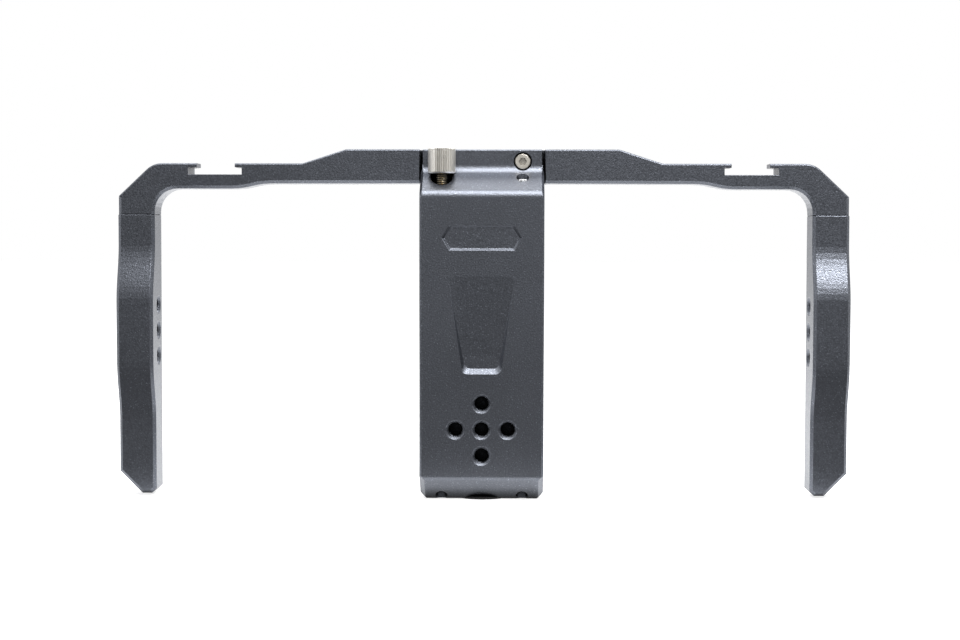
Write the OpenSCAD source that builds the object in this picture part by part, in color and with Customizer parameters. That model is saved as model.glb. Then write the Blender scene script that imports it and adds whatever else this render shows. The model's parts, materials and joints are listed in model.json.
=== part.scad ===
// Smartphone video rig: a plate with a screw clamp for a phone on its back, two arms that fold
// back on hinges, a cold shoe on each arm and a grip below each arm.
// X runs to the right, Y away from the front and Z up. The origin is the mouth of the tripod
// socket in the underside.

/* [Overall] */
// Width over the two grips
rig_w = 255; // [240:1:310]
// Height from the underside to the top of the arms
rig_h = 121.6; // [118:0.1:150]
// Depth of the arms, front to back
arm_depth = 12.7; // [12:0.1:20]
// Distance from the arms' front face back to the socket's axis
socket_back = 5.2; // [5:0.1:8]

/* [Plate] */
// Width of the front plate
plate_w = 42.8; // [40:0.1:60]
// How far the plate's face stands in front of the arms
plate_out = 11.3; // [11:0.1:14]
// Thickness of the plate, front to back
plate_deep = 12.7; // [12.5:0.1:16]
// Height of the plate's top edge below the top of the arms
ledge_drop = 15.2; // [14:0.1:16]
// Height of the block's face above the ledge
block_face_h = 7.3; // [7:0.1:8]
// Radius of the ledge's front bend
ledge_r = 3.3; // [1:0.1:4]
// Radius of the hollow bend between the ledge and the block's face
cove_r = 3.7; // [1:0.1:4]
// Height of the slope under the plate
foot_rise = 7.9; // [6:0.1:9]
// Depth of the slope under the plate
foot_run = 8.7; // [8:0.1:10]
// Radius of the bend above that slope
foot_r = 2; // [1:0.1:3]
// Leg of the cut along each side of the underside
foot_cut = 2.2; // [1:0.1:3]
// Bevel on the plate's upright edges
plate_bevel = 0.7; // [0.3:0.05:1]
// Bevel on the side edges of the slope under the plate
foot_bevel = 1.75; // [0.5:0.05:2]
// Gap in width between the plate's side and the block's side
block_step = 0.7; // [0.4:0.1:1]
// Height of the block and of the arms at the hinges
block_h = 11.8; // [11.6:0.1:14]

/* [Plate recesses] */
// Length of the bare label recess, tip to tip
label_w = 27.5; // [20:0.5:32]
// Length of the label recess along its top
label_flat = 22.5; // [15:0.5:28]
// Height of the label recess
label_h = 8.5; // [6:0.1:10]
// Depth of the label recess
label_deep = 0.7; // [0.3:0.1:1.2]
// Height of the label recess above the underside
label_z = 90.8; // [80:0.1:95]
// Half width of the ramped recess at its top
ramp_top_half = 11.1; // [8:0.1:14]
// Half width of the ramped recess at its foot
ramp_foot_half = 7; // [5:0.1:9]
// Height of the ramped recess's top above the underside
ramp_top_z = 77.6; // [70:0.1:80]
// Height of its foot above the underside
ramp_foot_z = 44.1; // [40:0.1:50]
// Depth of the ramped recess at its foot
ramp_deep = 1.6; // [1:0.1:2]
// Height of the rounded wall at the foot of the ramped recess
ramp_wall = 1.8; // [1:0.1:3]
// Width of its sloping side walls at the foot
ramp_side = 0.9; // [0.5:0.1:2]
// Radius of its corners
ramp_r = 2.2; // [1:0.1:3]

/* [Quarter-inch holes] */
// Bore of a quarter-inch, 20 threads per inch hole
quarter_d = 5.2; // [5.1:0.05:5.4]
// Mouth of its countersink
quarter_mouth = 6.7; // [6.35:0.05:7]
// Spacing of the holes, centre to centre
quarter_pitch = 9; // [8.5:0.1:12]
// Depth of the holes in the plate
plate_hole_deep = 9; // [6:0.5:10]
// Height of the cross of holes above the underside
cross_z = 24.9; // [22:0.1:28]
// Depth of the holes in the grips
grip_hole_deep = 9; // [6:0.5:10]
// Height of the middle hole of each grip
grip_hole_z = 58; // [50:0.1:65]

/* [Shafts and knob] */
// Distance of each shaft from the middle of the plate
shaft_x = 14; // [13:0.1:14.6]
// Distance of the shafts in front of the arms' front face
shaft_out = 3.7; // [3.6:0.1:4.4]
// Outside diameter of the lead screw
screw_d = 3.9; // [3.5:0.1:4.2]
// Diameter of the guide rod
rod_d = 4; // [3.5:0.1:4.2]
// Height of the guide rod's end above the underside
rod_top = 111.1; // [110:0.1:112]
// Diameter of the hole in the ledge round the lead screw
screw_hole_d = 7.6; // [7:0.1:8.4]
// Diameter of the holes of the guide rod and of the plug screws
rod_hole_d = 4.3; // [4.3:0.05:4.6]
// Height of the plug screws' lower ends above the underside
plug_z = 3.3; // [3:0.1:4]
// Height of the two plug screws
plug_h = 5; // [4:0.5:7]
// Diameter of the knob
knob_d = 9.5; // [9:0.1:10.5]
// Height of the knob
knob_h = 9.3; // [8:0.1:12]
// Height of the knob's underside below the top of the arms
knob_seat_drop = 8.5; // [8:0.1:9]
// Number of ridges round the knob
knob_ridges = 44; // [30:1:60]
// Depth of the grooves between the ridges
knob_groove = 0.3; // [0.1:0.01:0.4]
// Diameter of the collar on the lead screw
collar_d = 6; // [5:0.1:7]
// Height of the collar
collar_h = 1.2; // [1:0.1:2]
// Height of the brass bush round the lead screw
bush_h = 3.6; // [3:0.1:4]

/* [Clamp] */
// Smallest phone that the clamp holds
grip_min = 57.4; // [50:0.1:60]
// Travel of the upper jaw
jaw_travel = 30; // [20:0.5:32]
// Depth of the space for the phone
phone_deep = 11; // [10:0.5:14]
// Thickness of the shelf under the phone
shelf_h = 8; // [7:0.5:10]
// Thickness of the upper jaw
jaw_h = 5.5; // [5:0.1:7]
// Height of the hooks in front of the phone's screen, pad included
hook_h = 5.5; // [4:0.1:7]
// Thickness of the hooks, front to back
hook_deep = 3.8; // [3.5:0.1:6]
// Width of the upper jaw
jaw_w = 36; // [30:1:38]
// Thickness of the rubber pads
pad_h = 1; // [0.8:0.1:1.5]
// Height of the carriage in the plate
carriage_h = 12; // [10:0.5:14]
// Outside diameter of the drive nut and of the guide bush
nut_d = 6; // [5.6:0.1:6.4]
// Depth of the wall in front of the carriage
plate_wall = 3.2; // [3:0.1:3.6]
// Wall beside the carriage
side_wall = 3.2; // [2.5:0.1:4]
// Thickness of the back cover
cover_h = 2; // [1.5:0.1:2.5]
// Width of the slot for the jaw's neck
slot_w = 14.4; // [12:0.1:18]

/* [Base] */
// Diameter of the rubber ring in the underside
base_pad_d = 20; // [18:0.5:22]
// Depth of its recess
base_pad_deep = 0.6; // [0.5:0.1:1.5]
// How far the ring stands out of the underside
base_pad_out = 0.15; // [0.1:0.05:0.5]
// Diameter of the tripod socket's insert
insert_d = 10; // [9.5:0.1:12]

/* [Arms] */
// Gap between the block and each arm
arm_gap = 0.9; // [0.6:0.1:1.2]
// Height of an arm between the block and the corner
arm_h = 7; // [6:0.1:8]
// Height of an arm below its top at the cold shoe
shoe_bar_h = 8.8; // [8:0.1:11]
// Drop of an arm's top from the block's height
arm_drop = 4.9; // [4:0.1:6]
// Distance from the middle to the start of the drop
drop_start = 47.6; // [40:0.1:50]
// Distance from the middle to the end of the drop
drop_end = 62.7; // [55:0.1:65]
// Radius of the bends at both ends of the drop
drop_r = 4; // [1:0.5:12]
// Distance from the middle to the sweep under the cold shoe
sweep_start = 76.6; // [70:0.1:78]
// Length of that sweep
sweep_len = 7.9; // [6:0.1:10]
// Radius of the sweep's bends
sweep_r = 30; // [10:1:36]
// Height of the seam between arm and grip below the top of the arms
seam_drop = 22.7; // [20:0.1:26]
// Radius of the inner corner
inner_r = 8; // [5:0.5:9]
// Width of the outer corner's cut
corner_w = 12.3; // [9:0.1:12.5]
// Height of the outer corner's cut
corner_h = 11.6; // [9:0.1:12.5]
// Radius of the top bend at the outer corner
corner_r = 8; // [1:0.5:9]
// Bevel along the inner and lower edges
arm_bevel = 1.1; // [0.5:0.05:1.3]
// Bevel along the top edges
top_bevel = 0.4; // [0.2:0.05:0.6]
// Bevel of the arm at its seam with the grip
seam_bevel = 0.1; // [0.05:0.05:0.3]

/* [Cold shoes] */
// Distance from the middle to a shoe's inner wall
shoe_x = 84; // [82:0.1:86]
// Width of a shoe under its lips
shoe_w = 18.8; // [18.6:0.1:19.2]
// Height of the space under the lips
shoe_h = 2.5; // [2.2:0.1:2.8]
// Thickness of the lips
shoe_lip = 1.4; // [1.2:0.1:1.7]
// Reach of the lip nearer the block
shoe_lip_in = 2.4; // [2:0.1:3.2]
// Reach of the lip nearer the grip
shoe_lip_out = 3.1; // [2:0.1:3.2]
// Length of the lead-in at the back of the lips
shoe_lead = 4.8; // [1:0.1:6]

/* [Hinges] */
// Radius of the hinge's knuckles
knuckle_r = 3.5; // [3:0.1:4]
// Diameter of the hinge pins
pin_d = 3; // [2.5:0.1:3.2]
// Height of the lower knuckle of an arm
low_lug_h = 3.6; // [3:0.1:4]
// Height of the leaf's knuckle
leaf_knuckle_h = 5; // [4:0.1:5]
// Thickness of the leaf, front to back
leaf_deep = 4.6; // [4:0.1:4.8]
// Height of the leaf in the block
leaf_h = 7.1; // [6.5:0.1:7.3]
// Length of the leaf in the block
leaf_in = 11.5; // [9:0.1:12]
// Height of the leaf's screw above the block's underside
leaf_screw_up = 7.6; // [7.4:0.1:7.8]
// Distance of the leaf's screw from the block's side
leaf_screw_in = 6.7; // [5:0.1:8]

/* [Grips] */
// Width of a grip, seen from the front
grip_w = 12.8; // [11:0.1:15]
// Height of the grips' ends above the underside
grip_foot = 0.8; // [0.5:0.1:3]
// How far the grip swells forwards
swell = 4; // [2:0.1:8]
// Height of the swell's upper start
swell_top = 88.5; // [80:0.5:92]
// Height of the swell's lower end
swell_foot = 27; // [20:0.5:35]
// Height of each flank of the swell
swell_flank = 20; // [12:0.5:25]
// Leg of the cut at the grip's outer foot
foot_corner = 7.8; // [5:0.1:9]
// Leg of the cut at the grip's inner foot
foot_nick = 1.6; // [1:0.1:3]
// Bevel along the grip's edges
grip_bevel = 1.05; // [0.5:0.05:1.3]
// Bevel round the grip's upper end
grip_top_bevel = 0.25; // [0.1:0.05:0.6]
// How far a grip stands outside its arm's corner
grip_proud = 0.2; // [0:0.1:0.5]

/* [Screws] */
// Diameter of the cap screws
cap_d = 3; // [2.5:0.1:3]
// Diameter of their heads
cap_head_d = 5.5; // [5:0.1:5.6]
// Height of their heads
cap_head_h = 3; // [2.5:0.1:3]
// Diameter of the counterbores for the heads
cap_bore_d = 6.4; // [6:0.1:6.6]
// Width of the hex sockets across the flats
cap_hex = 2.5; // [2:0.1:2.5]
// Diameter of the screws that hold the grips
grip_screw_d = 2.5; // [2:0.1:2.5]
// Diameter of their heads
grip_head_d = 4.5; // [4:0.1:4.6]
// Height of their heads
grip_head_h = 2.5; // [2:0.1:2.5]
// Diameter of the counterbores for those heads
grip_bore_d = 5; // [4.8:0.1:5.2]
// Width of their hex sockets across the flats
grip_hex = 2; // [1.5:0.1:2]
// Distance between the two screws of a grip
grip_screw_pitch = 6.2; // [5.8:0.1:6.4]
// Diameter of the back cover's countersunk screws
cover_screw_d = 2.5; // [2:0.1:2.5]
// Diameter of their heads
cover_head_d = 4.6; // [4:0.1:4.8]
// Length of the back cover's screws
cover_screw_l = 6; // [5:0.5:7]
// Distance of its lower screws from the middle
low_screw_x = 10; // [8:0.1:12]
// Distance of its upper screws from the middle
top_screw_x = 7.5; // [6:0.1:8]

/* [Clearances] */
// Radial clearance of a turning or sliding shaft
run_gap = 0.03; // [0.02:0.01:0.06]
// Radial clearance of a part that is fixed in its bore
fix_gap = 0.02; // [0.01:0.01:0.03]
// Clearance round a moving part
move_gap = 0.3; // [0.2:0.05:0.4]
// Gap between hinge knuckles, end to end
knuckle_gap = 0.1; // [0.05:0.05:0.2]

/* [Hidden] */
$fn = 48;
arc_steps = 8;
eps = 0.01;
far = 40;

// Planes, front to back
arm_y = -socket_back;
back_y = arm_y + arm_depth;
plate_y = arm_y - plate_out;
shaft_y = arm_y - shaft_out;
seat_y = plate_y + plate_deep;
cover_y = seat_y + cover_h;
phone_y = cover_y + pad_h;
hook_y = phone_y + phone_deep;
clamp_y = hook_y + hook_deep;
hole_y = (arm_y + back_y) / 2;

// Heights
block_z = rig_h - block_h;
ledge_z = rig_h - ledge_drop;
face_z = rig_h - block_face_h;
seam_z = rig_h - seam_drop;
knob_z = rig_h - knob_seat_drop;
cavity_top = block_z - 5.2;
shelf_z = shelf_h + pad_h;
jaw_pad_z = shelf_z + grip_min + jaw_travel;
jaw_z = jaw_pad_z + pad_h;
carriage_z = jaw_z + jaw_h - carriage_h;
cavity_foot = carriage_z - jaw_travel - 4;
collar_z = cavity_top - 0.15 - collar_h;
leaf_z = block_z + low_lug_h + knuckle_gap;
leaf_top_z = leaf_z + leaf_knuckle_h;
shaft_foot = plug_z + plug_h + 0.9;

// Widths
block_half = plate_w / 2 - block_step;
arm_end = block_half + arm_gap;
cavity_half = plate_w / 2 - side_wall;
grip_out = rig_w / 2;
grip_in = grip_out - grip_w;
arm_out = grip_out - grip_proud;
arm_top = rig_h - arm_drop;
grip_mid = (grip_in + grip_out) / 2;

// Hinge axis on the right
pin_x = block_half + arm_gap / 2;
pin_y = back_y - knuckle_r - 0.1;
leaf_y = pin_y - 0.4 - leaf_deep;

// Screw places
leaf_screw_x = block_half - leaf_screw_in;
leaf_screw_z = block_z + leaf_screw_up;
shaft_places = [-shaft_x, shaft_x];
low_screw_z = shelf_z + 4;
top_screw_z = (cavity_top + block_z) / 2 - 0.4;
cover_places = [
    for (side = [-1, 1]) each [[side * low_screw_x, low_screw_z], [side * top_screw_x, top_screw_z]]
];
jaw_screw_x = 4;
jaw_screw_z = jaw_z + jaw_h / 2;
grip_screw_y = [hole_y - grip_screw_pitch / 2, hole_y + grip_screw_pitch / 2];
grip_screw_seat = seam_z + 4.6;
grip_screw_foot = seam_z - 9;

function unit(v) = v / norm(v);
function turn(v, a) = [v.x * cos(a) - v.y * sin(a), v.x * sin(a) + v.y * cos(a)];
function inward(a, b) = let (d = unit(b - a)) [-d.y, d.x];
function wrap(list, i) = list[(i + len(list)) % len(list)];
function flat(v) = [v[0], v[1]];
function smooth(t) = let (u = min(max(t, 0), 1)) u * u * (3 - 2 * u);

// The points that round corner b, which lies between a and c, with radius r
function corner(a, b, c, r) =
    r == 0 ? [b] :
    let (
        u = unit(a - b),
        v = unit(c - b),
        half = acos(u * v) / 2,
        mid = b + unit(u + v) * r / sin(half),
        start = b + u * r / tan(half) - mid,
        end = b + v * r / tan(half) - mid,
        sweep = atan2(cross(start, end), start * end)
    )
    [for (i = [0:arc_steps]) mid + turn(start, sweep * i / arc_steps)];

// A shape is a list of corners, counterclockwise: [x, y, radius, bevel of the edge that leaves]
function rounded(shape) = [
    for (i = [0:len(shape) - 1])
        each corner(flat(wrap(shape, i - 1)), flat(shape[i]), flat(wrap(shape, i + 1)), shape[i][2])
];

// The bevel of the edge that leaves each point of the rounded shape
function bevels(shape) = [
    for (i = [0:len(shape) - 1])
        let (before = wrap(shape, i - 1)[3], after = shape[i][3])
        each shape[i][2] == 0 ? [after] : [
            for (k = [0:arc_steps])
                k == arc_steps ? after : before + (after - before) * (k + 0.5) / arc_steps
        ]
];

// Each point moved inwards by the bevels of its two edges
function inset(points, cut) = [
    for (i = [0:len(points) - 1])
        let (
            m = inward(wrap(points, i - 1), points[i]),
            n = inward(points[i], wrap(points, i + 1)),
            a = wrap(cut, i - 1),
            b = cut[i],
            d = cross(m, n)
        )
        points[i] + (abs(d) > 0.3
            ? [a * n.y - b * m.y, b * m.x - a * n.x] / d
            : (m + n) / (1 + m * n) * (a + b) / 2)
];

// Whether corner k of a counterclockwise ring can be cut off as a triangle
function is_ear(points, ring, k) =
    let (i = wrap(ring, k - 1), j = ring[k], l = wrap(ring, k + 1), a = points[i], b = points[j], c = points[l])
    cross(b - a, c - b) > 1e-6 && len([
        for (m = ring)
            let (p = points[m])
            if (m != i && m != j && m != l && cross(b - a, p - a) >= 0 && cross(c - b, p - b) >= 0
                && cross(a - c, p - c) >= 0) m
    ]) == 0;
function first_ear(points, ring, k) =
    k == len(ring) ? 0 : is_ear(points, ring, k) ? k : first_ear(points, ring, k + 1);

// The ring's inside as counterclockwise triangles
function triangles(points, ring) =
    len(ring) == 3 ? [ring] :
    let (k = first_ear(points, ring, 0))
    concat(
        [[wrap(ring, k - 1), ring[k], wrap(ring, k + 1)]],
        triangles(points, [for (i = [0:len(ring) - 1]) if (i != k) ring[i]])
    );

// A convex ring of n points as triangles
function fan(n) = [for (i = [1:n - 2]) [0, i, i + 1]];

// A skin over rings of points. The first ring runs counterclockwise as seen from outside, and
// ends lists the triangles that close the first ring and, moved on, the last.
module skin(rings, ends) {
    n = len(rings[0]);
    last = len(rings) - 1;
    sides = [
        for (k = [0:last - 1], i = [0:n - 1])
            let (j = (i + 1) % n, a = k * n + i, b = k * n + j, c = b + n, d = a + n)
            each [[a, b, c], [a, c, d]]
    ];
    caps = [for (t = ends) each [[t[2], t[1], t[0]], [for (i = t) last * n + i]]];
    polyhedron(points = [for (ring = rings) each ring], faces = concat(sides, caps));
}

// The shape, drawn in X and Z, as a bar from Y = 0 to depth with bevelled front and back edges
module bevelled_bar(shape, depth) {
    outer = rounded(shape);
    cut = bevels(shape);
    inner = inset(outer, cut);
    count = len(outer);
    reach = [for (i = [0:count - 1]) max(wrap(cut, i - 1), cut[i])];
    skin([
        [for (p = inner) [p.x, 0, p.y]],
        [for (i = [0:count - 1]) [outer[i].x, reach[i], outer[i].y]],
        [for (i = [0:count - 1]) [outer[i].x, depth - reach[i], outer[i].y]],
        [for (p = inner) [p.x, depth, p.y]]
    ], triangles(inner, [for (i = [0:count - 1]) i]));
}

// A flat plate with rounded corners, its face square to Y, from y to y + depth
module plate(x, z, r, y, depth) {
    shape = [[x[0], z[0], r, 0], [x[1], z[0], r, 0], [x[1], z[1], r, 0], [x[0], z[1], r, 0]];
    translate([0, y + depth, 0]) rotate([90, 0, 0]) linear_extrude(depth) polygon(rounded(shape));
}

// A flat plate with rounded corners, its face square to Z, from z to z + depth
module slab(x, y, r, z, depth) {
    shape = [[x[0], y[0], r, 0], [x[1], y[0], r, 0], [x[1], y[1], r, 0], [x[0], y[1], r, 0]];
    translate([0, 0, z]) linear_extrude(depth) polygon(rounded(shape));
}

module block(x, y, z) {
    translate([x[0], y[0], z[0]]) cube([x[1] - x[0], y[1] - y[0], z[1] - z[0]]);
}

// An upright round bar or bore from z to z + h
module post(x, y, z, h, d) {
    translate([x, y, z]) cylinder(h = h, d = d);
}

// A round bar or bore that runs back along Y from y
module bar_y(x, z, y, l, d) {
    translate([x, y, z]) rotate([-90, 0, 0]) cylinder(h = l, d = d);
}

module hex_prism(across, h) {
    cylinder(h = h, d = across / cos(30), $fn = 6);
}

// A socket screw whose head's face is at the origin and whose shank points to +Z
module socket_screw(length, d, head_d, head_h, hex) {
    difference() {
        union() {
            rotate_extrude() polygon([
                [0, 0], [head_d / 2 - 0.3, 0], [head_d / 2, 0.3], [head_d / 2, head_h], [0, head_h]
            ]);
            cylinder(h = length, d = d);
        }
        translate([0, 0, -eps]) hex_prism(hex, head_h * 0.6);
    }
}

module cap_screw(length) {
    socket_screw(length, cap_d, cap_head_d, cap_head_h, cap_hex);
}

// The cutter of a quarter-inch hole whose mouth is at the origin and which runs to +Z
module quarter_cut(depth) {
    sink = (quarter_mouth - quarter_d) / 2;
    cylinder(h = depth, d = quarter_d);
    translate([0, 0, -eps]) cylinder(h = sink + eps, d1 = quarter_mouth, d2 = quarter_d);
}

// Spine: plate, shelf and block in one piece

module spine_bar() {
    shape = [
        [plate_y + foot_run, 0, 0.3, 0.3],
        [clamp_y, 0, 0.5, 0.4],
        [clamp_y, shelf_h + hook_h, 1.5, 0.4],
        [hook_y, shelf_h + hook_h, 0.8, 0.4],
        [hook_y, shelf_h, 0, 0.4],
        [seat_y, shelf_h, 0, 0.4],
        [seat_y, block_z, 0, 0.4],
        [back_y, block_z, 0.5, 0.4],
        [back_y, rig_h, 0.6, 0.4],
        [arm_y, rig_h, 0.5, 0.4],
        [arm_y, face_z, cove_r, 0.9],
        [plate_y, ledge_z, ledge_r, plate_bevel],
        [plate_y, foot_rise, foot_r, foot_bevel]
    ];
    translate([plate_w / 2, 0, 0]) rotate([0, 0, 90]) bevelled_bar(shape, plate_w);
}

// The label recess narrows with depth by its own depth on every side
module label_cut() {
    half_w = label_w / 2;
    half_flat = label_flat / 2;
    half_h = label_h / 2;
    outline = [
        [-half_w, 0], [-half_flat, -half_h], [half_flat, -half_h],
        [half_w, 0], [half_flat, half_h], [-half_flat, half_h]
    ];
    skin([
        for (deep = [-eps, label_deep])
            [
                for (p = outline)
                    [p.x * (1 - deep / half_w), plate_y + deep, label_z + p.y * (1 - deep / half_h)]
            ]
    ], fan(6));
}

module ramp_cut() {
    r = ramp_r;
    $fn = 32;
    hull() {
        for (side = [-1, 1]) {
            bar_y(side * (ramp_top_half - r), ramp_top_z - r, plate_y - 1, 1 + eps, 2 * r);
            bar_y(side * (ramp_foot_half - r), ramp_foot_z + r, plate_y - 1, 1 + eps, 2 * r);
            bar_y(side * (ramp_foot_half - r - ramp_side), ramp_foot_z + r + ramp_wall, plate_y - 1, 1 + ramp_deep, 2 * r);
        }
    }
}

module cross_cuts() {
    for (p = [[0, 0], [-1, 0], [1, 0], [0, -1], [0, 1]])
        translate([p.x * quarter_pitch, plate_y, cross_z + p.y * quarter_pitch])
            rotate([-90, 0, 0]) quarter_cut(plate_hole_deep);
}

module shaft_cuts() {
    post(-shaft_x, shaft_y, 0, cavity_top, screw_d + 4 * fix_gap + 2 * run_gap);
    post(-shaft_x, shaft_y, cavity_top - eps, far, screw_hole_d);
    post(-shaft_x, shaft_y, knob_z - 0.08, far, knob_d + 0.8);
    post(shaft_x, shaft_y, 0, rig_h - 4, rod_d + 2 * fix_gap);
    post(shaft_x, shaft_y, cavity_top, block_h - 3, rod_hole_d);
    for (x = shaft_places)
        post(x, shaft_y, -eps, shaft_foot - 0.1, rod_hole_d);
}

module base_cuts() {
    post(0, 0, -eps, base_pad_deep + eps, base_pad_d + 2 * fix_gap);
    post(0, 0, 0, shelf_h + eps, insert_d + 2 * fix_gap);
    for (side = [-1, 1])
        translate([side * plate_w / 2, -far, 0]) rotate([0, 45, 0])
            translate([-foot_cut / sqrt(2), 0, -foot_cut / sqrt(2)])
                cube([foot_cut * sqrt(2), 2 * far, foot_cut * sqrt(2)]);
}

// The pocket of the right leaf, with the room that the arm's knuckles sweep
module hinge_cuts() {
    clear_r = knuckle_r + move_gap;
    block([block_half - leaf_in - 0.1, far], [leaf_y - 0.05, leaf_y + leaf_deep + 0.05],
        [leaf_z - 0.05, leaf_z + leaf_h + 0.05]);
    post(pin_x, pin_y, block_z - 1, block_h + 2, 2 * clear_r);
    block([pin_x - clear_r - 0.1, far], [pin_y, back_y + 1], [block_z - 1, rig_h + 1]);
}

module spine() {
    color([0.36, 0.37, 0.40])
    difference() {
        spine_bar();
        for (side = [-1, 1])
            scale([side, 1, 1]) block([block_half, far], [arm_y, back_y + 1], [block_z - 1, rig_h + 1]);
        hinge_cuts();
        mirror([1, 0, 0]) hinge_cuts();
        block([-cavity_half, cavity_half], [plate_y + plate_wall, seat_y + 1], [cavity_foot, cavity_top]);
        label_cut();
        ramp_cut();
        cross_cuts();
        shaft_cuts();
        base_cuts();
        bar_y(leaf_screw_x, leaf_screw_z, arm_y - 3, 3 + cap_head_h + 0.05, cap_bore_d);
        bar_y(leaf_screw_x, leaf_screw_z, arm_y, leaf_y - arm_y, cap_d + 0.2);
        bar_y(-leaf_screw_x, leaf_screw_z, back_y - cap_head_h - 0.05, far, cap_bore_d);
        bar_y(-leaf_screw_x, leaf_screw_z, leaf_y + leaf_deep, back_y - leaf_y - leaf_deep, cap_d + 0.2);
        for (p = cover_places)
            bar_y(p.x, p.y, cover_y - cover_screw_l - 0.5, cover_screw_l, cover_screw_d + 2 * fix_gap);
    }
}

// Phone clamp, fixed parts

module back_cover() {
    color([0.30, 0.31, 0.34])
    difference() {
        plate([-plate_w / 2 + 1, plate_w / 2 - 1], [shelf_h + 0.3, block_z - 0.3], 1.5, seat_y, cover_h);
        plate([-slot_w / 2, slot_w / 2], [jaw_z - jaw_travel - 0.4, jaw_z + jaw_h + 0.4], 1, seat_y - 1, cover_h + 2);
        for (p = cover_places) {
            bar_y(p.x, p.y, seat_y - 1, cover_h + 2, cover_screw_d + 0.2);
            translate([p.x, cover_y, p.y]) rotate([90, 0, 0])
                cylinder(h = (cover_head_d - cover_screw_d) / 2, d1 = cover_head_d + 0.1, d2 = cover_screw_d + 0.1);
        }
    }
}

module cover_screws() {
    color([0.2, 0.2, 0.21])
    for (p = cover_places)
        translate([p.x, cover_y, p.y]) rotate([90, 0, 0])
            difference() {
                union() {
                    cylinder(h = (cover_head_d - cover_screw_d) / 2, d1 = cover_head_d, d2 = cover_screw_d);
                    cylinder(h = cover_screw_l, d = cover_screw_d);
                }
                translate([0, 0, -eps]) hex_prism(1.5, 1);
            }
}

module phone_rest_pads() {
    color([0.09, 0.09, 0.09])
    for (side = [-1, 1])
        scale([side, 1, 1])
            plate([slot_w / 2 + 3, plate_w / 2 - 2], [shelf_z + 9, cavity_top - 8], 1.5, cover_y, pad_h);
}

module shelf_pad() {
    color([0.09, 0.09, 0.09])
    slab([-jaw_w / 2, jaw_w / 2], [phone_y + 0.3, hook_y - 0.3], 1, shelf_h, pad_h);
}

module base_pad() {
    color([0.09, 0.09, 0.09])
    difference() {
        post(0, 0, -base_pad_out, base_pad_deep + base_pad_out, base_pad_d);
        post(0, 0, -1, 3, insert_d + 4 * fix_gap);
    }
}

module tripod_insert() {
    color([0.62, 0.62, 0.60])
    difference() {
        post(0, 0, 0, shelf_h - 0.1, insert_d);
        post(0, 0, -1, shelf_h - 0.2, quarter_d);
    }
}

module screw_bush() {
    color([0.72, 0.58, 0.32])
    difference() {
        post(-shaft_x, shaft_y, cavity_top, bush_h, screw_hole_d - 2 * fix_gap);
        post(-shaft_x, shaft_y, cavity_top - 1, bush_h + 2, screw_d + 2 * run_gap);
    }
}

module guide_rod() {
    color([0.75, 0.75, 0.76])
    translate([shaft_x, shaft_y, shaft_foot])
        rotate_extrude() polygon([
            [0, 0], [rod_d / 2 - 0.4, 0], [rod_d / 2, 0.4],
            [rod_d / 2, rod_top - shaft_foot - 0.4], [rod_d / 2 - 0.4, rod_top - shaft_foot], [0, rod_top - shaft_foot]
        ]);
}

module plug_screws() {
    color([0.16, 0.16, 0.17])
    for (x = shaft_places)
        translate([x, shaft_y, plug_z])
            difference() {
                cylinder(h = plug_h, d = rod_hole_d - 0.1);
                translate([0, 0, -eps]) hex_prism(2, plug_h / 2);
            }
}

// Phone clamp, turning parts

module clamp_knob() {
    r = knob_d / 2;
    step = 360 / knob_ridges;
    teeth = [
        for (i = [0:knob_ridges - 1])
            each [
                for (t = [[0, r - knob_groove], [0.25, r], [0.7, r]])
                    t[1] * [cos((i + t[0]) * step), sin((i + t[0]) * step)]
            ]
    ];
    color([0.82, 0.81, 0.76])
    translate([-shaft_x, shaft_y, knob_z])
        difference() {
            intersection() {
                linear_extrude(knob_h) polygon(teeth);
                rotate_extrude() polygon([
                    [0, 0], [r - 0.5, 0], [r + 0.05, 0.5], [r + 0.05, knob_h - 0.9], [r - 0.9, knob_h], [0, knob_h]
                ]);
            }
            translate([0, 0, -1]) cylinder(h = knob_h - 2, d = screw_d + 2 * fix_gap);
        }
}

module lead_screw() {
    color([0.60, 0.56, 0.46])
    union() {
        post(-shaft_x, shaft_y, shaft_foot, knob_z + knob_h - 3.4 - shaft_foot, screw_d);
        post(-shaft_x, shaft_y, collar_z, collar_h, collar_d);
    }
}

// Phone clamp, sliding parts

module jaw_carriage() {
    top = carriage_z + carriage_h;
    color([0.55, 0.56, 0.58])
    difference() {
        union() {
            block([-cavity_half + move_gap, cavity_half - move_gap],
                [plate_y + plate_wall + move_gap, seat_y - move_gap], [carriage_z, top]);
            block([-slot_w / 2 + move_gap, slot_w / 2 - move_gap], [seat_y - 2, phone_y + 0.3], [jaw_z, top]);
        }
        for (x = shaft_places)
            post(x, shaft_y, carriage_z - 1, carriage_h + 2, nut_d + 2 * fix_gap);
        for (side = [-1, 1])
            bar_y(side * jaw_screw_x, jaw_screw_z, shaft_y, far, cap_d + 2 * fix_gap);
    }
}

module shaft_sleeve(x, d) {
    difference() {
        post(x, shaft_y, carriage_z, carriage_h, nut_d);
        post(x, shaft_y, carriage_z - 1, carriage_h + 2, d + 2 * run_gap);
    }
}

module drive_nut() {
    color([0.72, 0.58, 0.32]) shaft_sleeve(-shaft_x, screw_d);
}

module guide_bush() {
    color([0.66, 0.50, 0.30]) shaft_sleeve(shaft_x, rod_d);
}

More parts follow.
